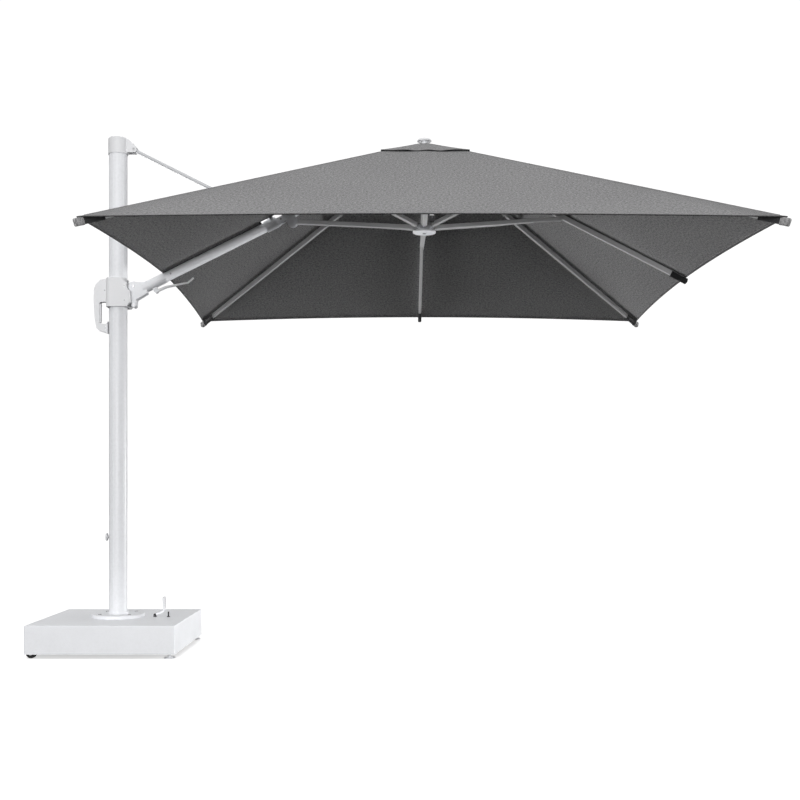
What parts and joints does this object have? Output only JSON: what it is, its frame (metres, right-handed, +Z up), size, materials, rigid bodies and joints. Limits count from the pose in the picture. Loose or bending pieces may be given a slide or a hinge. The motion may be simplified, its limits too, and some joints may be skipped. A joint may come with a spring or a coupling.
{
  "type": "cantilever parasol",
  "caption": "Square side-post parasol: weighted wheeled base, turning mast, slider, folding tilting arm, ribs, struts, canopy and vent cap.",
  "frame": {"origin": "on the floor, under the middle of the whole object's box", "axes": "+X along the arm's reach, from the mast to the canopy; +Z up; +Y to the back"},
  "size_m": [3.6164, 3.0296, 2.842],
  "materials": {
    "white_frame": "satin",
    "white_steel": "satin",
    "white_plastic": "satin",
    "steel_fasteners": "satin",
    "grey_bush": "matte",
    "ballast_stone": "matte",
    "black_wheel": "matte",
    "grey_canopy_fabric": "matte"
  },
  "bodies": {
    "base": {"base_frame": "white_steel", "base_cover": "white_plastic", "ballast_slabs": "ballast_stone", "turntable_housing": "white_steel", "housing_bolts": "steel_fasteners", "wheel_brackets": "white_steel", "pedal_bracket": "white_steel"},
    "front_wheel": {"front_wheel": "black_wheel"},
    "rear_wheel": {"rear_wheel": "black_wheel"},
    "front_foot": {"front_levelling_foot": "white_steel"},
    "rear_foot": {"rear_levelling_foot": "white_steel"},
    "pedal": {"pedal_arm": "white_steel", "pedal_grip": "white_plastic"},
    "mast": {"mast_flange": "white_steel", "mast_tube": "white_frame", "flange_bolts": "steel_fasteners", "mast_cap": "white_plastic", "cap_pin": "steel_fasteners", "knob_stud": "steel_fasteners"},
    "strap_knob": {"strap_knob": "white_plastic"},
    "upper_strut": {"upper_strut": "white_frame", "strut_fork": "white_frame", "fork_screws": "steel_fasteners"},
    "arm_carrier": {"arm_yoke": "white_frame", "yoke_pin": "steel_fasteners", "arm_sleeve": "white_frame"},
    "slider": {"slider_front_shell": "white_plastic", "slider_rear_shell": "white_plastic", "slider_screws": "steel_fasteners", "slider_bushes": "grey_bush"},
    "latch_bolt": {"latch_bolt": "steel_fasteners"},
    "release_trigger": {"release_trigger": "white_plastic"},
    "arm": {"arm_root": "white_frame", "arm_tube": "white_frame", "arm_knuckle": "white_frame", "arm_extension": "white_frame", "arm_screws": "steel_fasteners"},
    "tilt_lever": {"tilt_lever": "white_plastic"},
    "top_hub": {"top_hub": "white_frame", "finial": "white_plastic", "canopy": "grey_canopy_fabric", "vent_cap": "grey_canopy_fabric"},
    "beam": {"beam": "white_frame"},
    "lower_hub": {"lower_hub": "white_frame", "hub_disc": "white_frame", "hub_bolt": "steel_fasteners"},
    "right_rib": {"right_rib": "white_frame"},
    "right_strut": {"right_strut": "white_frame"},
    "back_right_rib": {"back_right_rib": "white_frame"},
    "back_right_strut": {"back_right_strut": "white_frame"},
    "back_rib": {"back_rib": "white_frame"},
    "back_strut": {"back_strut": "white_frame"},
    "back_left_rib": {"back_left_rib": "white_frame"},
    "back_left_strut": {"back_left_strut": "white_frame"},
    "front_left_rib": {"front_left_rib": "white_frame"},
    "front_left_strut": {"front_left_strut": "white_frame"},
    "front_rib": {"front_rib": "white_frame"},
    "front_strut": {"front_strut": "white_frame"},
    "front_right_rib": {"front_right_rib": "white_frame"},
    "front_right_strut": {"front_right_strut": "white_frame"}
  },
  "joints": [
    {"name": "mast_turn", "type": "hinge", "parent": "base", "child": "mast", "pos_m": [-1.4058, 0, 0], "axis": [0, 0, 1], "continuous": true},
    {"name": "fold", "type": "hinge", "parent": "mast", "child": "upper_strut", "pos_m": [-1.3158, 0, 2.7755], "axis": [0, 1, 0], "range_deg": [0, 60], "deforming": ["canopy", "vent_cap"]},
    {"name": "arm_swing", "type": "hinge", "parent": "upper_strut", "child": "arm_carrier", "pos_m": [-0.55196, 0, 2.39358], "axis": [0, 1, 0], "range_deg": [-120.5, 0]},
    {"name": "slider_travel", "type": "hinge", "parent": "arm_carrier", "child": "slider", "pos_m": [-1.3158, 0, 2.01166], "axis": [0, 1, 0], "range_deg": [0, 60.5]},
    {"name": "side_tilt", "type": "hinge", "parent": "arm_carrier", "child": "arm", "pos_m": [-1.30283, 0, 1.98572], "axis": [0.8944, 0, 0.4472], "range_deg": [-20, 20]},
    {"name": "hub_swing", "type": "hinge", "parent": "arm", "child": "top_hub", "pos_m": [0.2608, 0, 2.76754], "axis": [0, 1, 0], "range_deg": [0, 55.24]},
    {"name": "beam_swing", "type": "hinge", "parent": "arm", "child": "beam", "pos_m": [-0.4338, 0, 2.376], "axis": [0, 1, 0], "range_deg": [0, 135.28]},
    {"name": "lower_hub_swing", "type": "hinge", "parent": "beam", "child": "lower_hub", "pos_m": [0.2708, 0, 2.345], "axis": [0, 1, 0], "range_deg": [-80.54, 0]},
    {"name": "right_rib_fold", "type": "hinge", "parent": "top_hub", "child": "right_rib", "pos_m": [0.3608, 0, 2.7681], "axis": [0, 1, 0], "range_deg": [0, 55.38]},
    {"name": "right_strut_fold", "type": "hinge", "parent": "lower_hub", "child": "right_strut", "pos_m": [0.3458, 0, 2.345], "axis": [0, -1, 0], "range_deg": [0, 77.87]},
    {"name": "back_right_rib_fold", "type": "hinge", "parent": "top_hub", "child": "back_right_rib", "pos_m": [0.34323, 0.04243, 2.77472], "axis": [-0.7071, 0.7071, 0], "range_deg": [0, 62.61]},
    {"name": "back_right_strut_fold", "type": "hinge", "parent": "lower_hub", "child": "back_right_strut", "pos_m": [0.33262, 0.03182, 2.345], "axis": [0.7071, -0.7071, 0], "range_deg": [0, 70.53]},
    {"name": "back_rib_fold", "type": "hinge", "parent": "top_hub", "child": "back_rib", "pos_m": [0.3008, 0.06, 2.7681], "axis": [-1, 0, 0], "range_deg": [0, 55.38]},
    {"name": "back_strut_fold", "type": "hinge", "parent": "lower_hub", "child": "back_strut", "pos_m": [0.3008, 0.045, 2.345], "axis": [1, 0, 0], "range_deg": [0, 77.87]},
    {"name": "back_left_rib_fold", "type": "hinge", "parent": "top_hub", "child": "back_left_rib", "pos_m": [0.25837, 0.04243, 2.77472], "axis": [-0.7071, -0.7071, 0], "range_deg": [0, 62.61]},
    {"name": "back_left_strut_fold", "type": "hinge", "parent": "lower_hub", "child": "back_left_strut", "pos_m": [0.26898, 0.03182, 2.345], "axis": [0.7071, 0.7071, 0], "range_deg": [0, 70.53]},
    {"name": "front_left_rib_fold", "type": "hinge", "parent": "top_hub", "child": "front_left_rib", "pos_m": [0.25837, -0.04243, 2.77472], "axis": [0.7071, -0.7071, 0], "range_deg": [0, 62.61]},
    {"name": "front_left_strut_fold", "type": "hinge", "parent": "lower_hub", "child": "front_left_strut", "pos_m": [0.26898, -0.03182, 2.345], "axis": [-0.7071, 0.7071, 0], "range_deg": [0, 70.53]},
    {"name": "front_rib_fold", "type": "hinge", "parent": "top_hub", "child": "front_rib", "pos_m": [0.3008, -0.06, 2.7681], "axis": [1, 0, 0], "range_deg": [0, 55.38]},
    {"name": "front_strut_fold", "type": "hinge", "parent": "lower_hub", "child": "front_strut", "pos_m": [0.3008, -0.045, 2.345], "axis": [-1, 0, 0], "range_deg": [0, 77.87]},
    {"name": "front_right_rib_fold", "type": "hinge", "parent": "top_hub", "child": "front_right_rib", "pos_m": [0.34323, -0.04243, 2.77472], "axis": [0.7071, 0.7071, 0], "range_deg": [0, 62.61]},
    {"name": "front_right_strut_fold", "type": "hinge", "parent": "lower_hub", "child": "front_right_strut", "pos_m": [0.33262, -0.03182, 2.345], "axis": [-0.7071, -0.7071, 0], "range_deg": [0, 70.53]},
    {"name": "tilt_lever_squeeze", "type": "hinge", "parent": "arm", "child": "tilt_lever", "pos_m": [-1.1922, 0, 1.99], "axis": [0, -1, 0], "range_deg": [0, 8], "stiffness_Nm_per_rad": 4},
    {"name": "trigger_squeeze", "type": "slide", "parent": "slider", "child": "release_trigger", "axis": [-1, 0, 0], "range_m": [0, 0.006], "stiffness_N_per_m": 1200},
    {"name": "bolt_pull", "type": "slide", "parent": "slider", "child": "latch_bolt", "axis": [-1, 0, 0], "range_m": [0, 0.0062]},
    {"name": "pedal_press", "type": "hinge", "parent": "base", "child": "pedal", "pos_m": [-1.2008, 0, 0.186], "axis": [0, 1, 0], "range_deg": [0, 10], "stiffness_Nm_per_rad": 6},
    {"name": "strap_knob_turn", "type": "hinge", "parent": "mast", "child": "strap_knob", "pos_m": [-1.4658, 0, 0.62], "axis": [1, 0, 0], "continuous": true},
    {"name": "front_wheel_roll", "type": "hinge", "parent": "base", "child": "front_wheel", "pos_m": [-1.7698, -0.362, 0.0275], "axis": [0, 1, 0], "continuous": true},
    {"name": "rear_wheel_roll", "type": "hinge", "parent": "base", "child": "rear_wheel", "pos_m": [-1.7698, 0.362, 0.0275], "axis": [0, 1, 0], "continuous": true},
    {"name": "front_foot_turn", "type": "hinge", "parent": "base", "child": "front_foot", "pos_m": [-1.0438, -0.362, 0], "axis": [0, 0, 1], "continuous": true},
    {"name": "rear_foot_turn", "type": "hinge", "parent": "base", "child": "rear_foot", "pos_m": [-1.0438, 0.362, 0], "axis": [0, 0, 1], "continuous": true}
  ],
  "couplings": [
    {"joint": "arm_swing", "follows": "fold", "ratio": -2},
    {"joint": "slider_travel", "follows": "fold", "ratio": 1},
    {"joint": "hub_swing", "follows": "fold", "ratio": 0.91227},
    {"joint": "beam_swing", "follows": "fold", "ratio": 2.2463},
    {"joint": "lower_hub_swing", "follows": "fold", "ratio": -1.334},
    {"joint": "right_rib_fold", "follows": "fold", "ratio": 0.91471},
    {"joint": "right_strut_fold", "follows": "fold", "ratio": 1.2895},
    {"joint": "back_right_rib_fold", "follows": "fold", "ratio": 1.0352},
    {"joint": "back_right_strut_fold", "follows": "fold", "ratio": 1.1672},
    {"joint": "back_rib_fold", "follows": "fold", "ratio": 0.91471},
    {"joint": "back_strut_fold", "follows": "fold", "ratio": 1.2895},
    {"joint": "back_left_rib_fold", "follows": "fold", "ratio": 1.0352},
    {"joint": "back_left_strut_fold", "follows": "fold", "ratio": 1.1672},
    {"joint": "front_left_rib_fold", "follows": "fold", "ratio": 1.0352},
    {"joint": "front_left_strut_fold", "follows": "fold", "ratio": 1.1672},
    {"joint": "front_rib_fold", "follows": "fold", "ratio": 0.91471},
    {"joint": "front_strut_fold", "follows": "fold", "ratio": 1.2895},
    {"joint": "front_right_rib_fold", "follows": "fold", "ratio": 1.0352},
    {"joint": "front_right_strut_fold", "follows": "fold", "ratio": 1.1672},
    {"joint": "bolt_pull", "follows": "trigger_squeeze", "ratio": 1}
  ]
}
